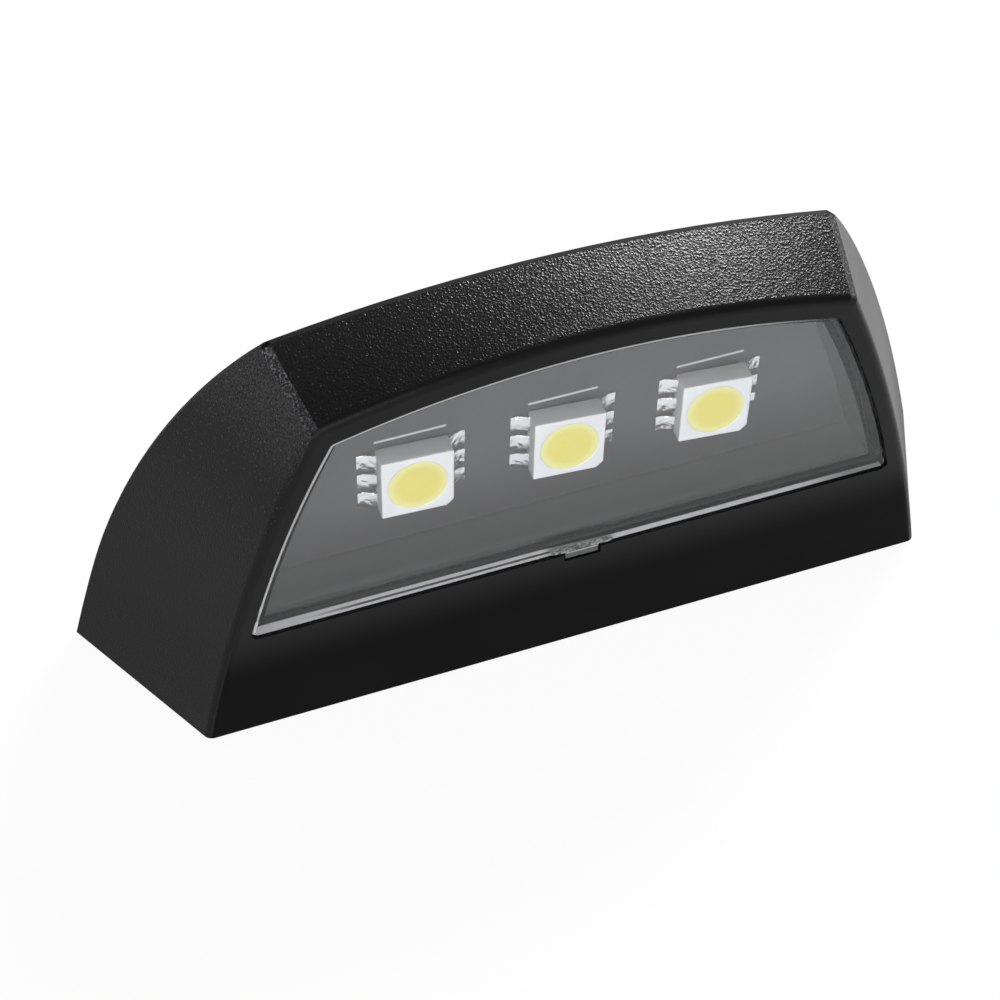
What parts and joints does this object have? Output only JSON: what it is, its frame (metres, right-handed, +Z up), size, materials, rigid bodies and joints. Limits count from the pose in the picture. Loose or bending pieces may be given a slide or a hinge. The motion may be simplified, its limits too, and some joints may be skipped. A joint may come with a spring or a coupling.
{
  "type": "number plate lamp",
  "caption": "Low hooded car lamp: a black moulded hood on a flat base holds a row of surface-mount lights behind a clear upright lens, to light a number plate.",
  "frame": {"origin": "middle of the fixing face, under the hood", "axes": "+X along the lamp, +Y from the lens to the back, +Z up from the fixing face"},
  "size_m": [0.0668, 0.013, 0.03],
  "materials": {
    "housing_black": "black moulded plastic, coarse spark-eroded grain on top, finer on the ends, satin on the front",
    "lens_clear": "clear polished plastic",
    "board_grey": "matte grey solder mask",
    "cover_black": "black moulded plastic, fine grain",
    "grommet_rubber": "matte black rubber",
    "insert_brass": "turned brass",
    "diode_black": "moulded black resin",
    "led_white": "white moulded package",
    "led_phosphor": "yellow phosphor in clear gel",
    "lead_tin": "tinned leads with bright solder",
    "resistor_black": "black glaze on ceramic"
  },
  "bodies": {
    "root": {"base_cover": "cover_black", "cable_grommet": "grommet_rubber", "circuit_board": "board_grey", "housing": "housing_black", "led_body_left": "led_white", "led_body_middle": "led_white", "led_body_right": "led_white", "led_leads_left": "lead_tin", "led_leads_middle": "lead_tin", "led_leads_right": "lead_tin", "led_phosphor_left": "led_phosphor", "led_phosphor_middle": "led_phosphor", "led_phosphor_right": "led_phosphor", "lens": "lens_clear", "rectifier_diode": "diode_black", "resistor_left": "resistor_black", "resistor_middle": "resistor_black", "resistor_right": "resistor_black", "threaded_insert_left": "insert_brass", "threaded_insert_right": "insert_brass"}
  },
  "joints": []
}
